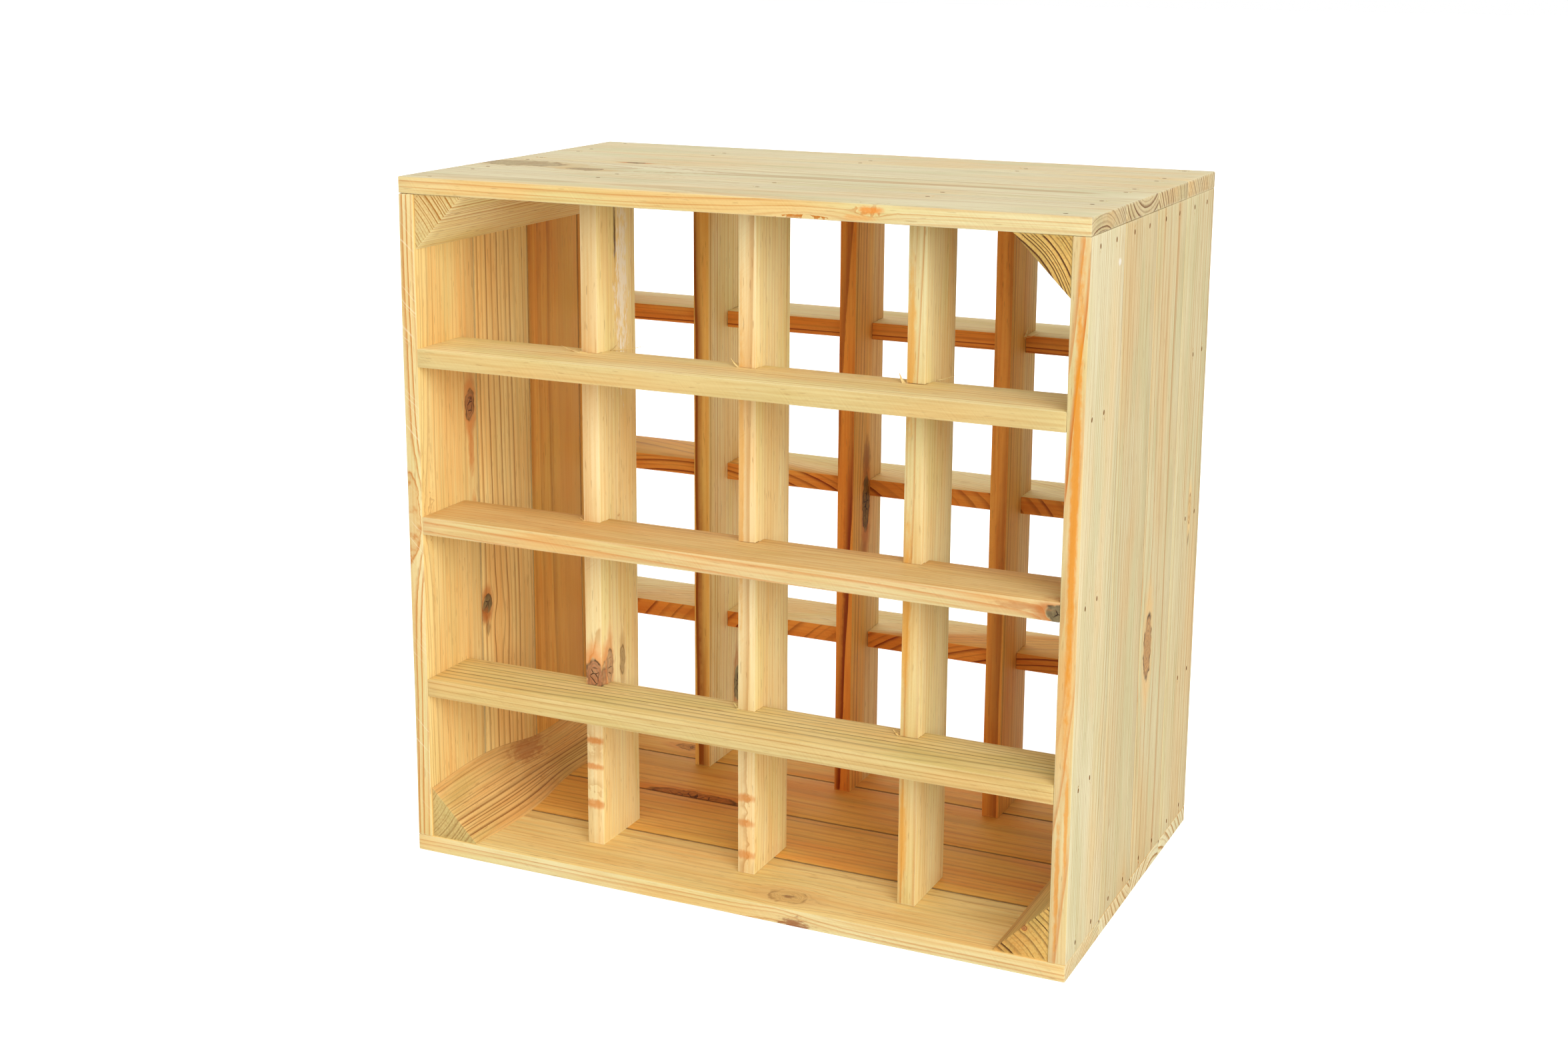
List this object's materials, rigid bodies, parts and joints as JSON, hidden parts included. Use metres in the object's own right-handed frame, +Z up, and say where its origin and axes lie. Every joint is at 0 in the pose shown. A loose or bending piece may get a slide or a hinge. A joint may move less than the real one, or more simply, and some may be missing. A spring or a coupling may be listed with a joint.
{
  "type": "wine rack",
  "caption": "Open softwood crate with front and rear lattices of cross-lapped slats that form square cells for bottles lying down.",
  "frame": {"origin": "under the middle of the rack, on the plane that it stands on", "axes": "+Z up, the open front faces -Y, +X to the right seen from the front"},
  "size_m": [0.5, 0.3, 0.5],
  "materials": {
    "cap_pine": "planed, unfinished",
    "side_pine": "planed, unfinished",
    "block_pine": "rough sawn, unfinished",
    "upright_pine": "fine sawn, unfinished",
    "shelf_pine": "fine sawn, unfinished",
    "brad_steel": "bright wire"
  },
  "bodies": {
    "root": {"top_board_1": "cap_pine", "top_board_2": "cap_pine", "top_board_3": "cap_pine", "top_board_4": "cap_pine", "bottom_board_1": "cap_pine", "bottom_board_2": "cap_pine", "bottom_board_3": "cap_pine", "bottom_board_4": "cap_pine", "left_board_1": "side_pine", "left_board_2": "side_pine", "left_board_3": "side_pine", "left_board_4": "side_pine", "right_board_1": "side_pine", "right_board_2": "side_pine", "right_board_3": "side_pine", "right_board_4": "side_pine", "top_left_block": "block_pine", "top_right_block": "block_pine", "bottom_left_block": "block_pine", "bottom_right_block": "block_pine", "front_upright_1": "upright_pine", "front_upright_2": "upright_pine", "front_upright_3": "upright_pine", "rear_upright_1": "upright_pine", "rear_upright_2": "upright_pine", "rear_upright_3": "upright_pine", "front_shelf_1": "shelf_pine", "front_shelf_2": "shelf_pine", "front_shelf_3": "shelf_pine", "rear_shelf_1": "shelf_pine", "rear_shelf_2": "shelf_pine", "rear_shelf_3": "shelf_pine", "top_brads": "brad_steel", "bottom_brads": "brad_steel", "left_brads": "brad_steel", "right_brads": "brad_steel"}
  },
  "joints": []
}
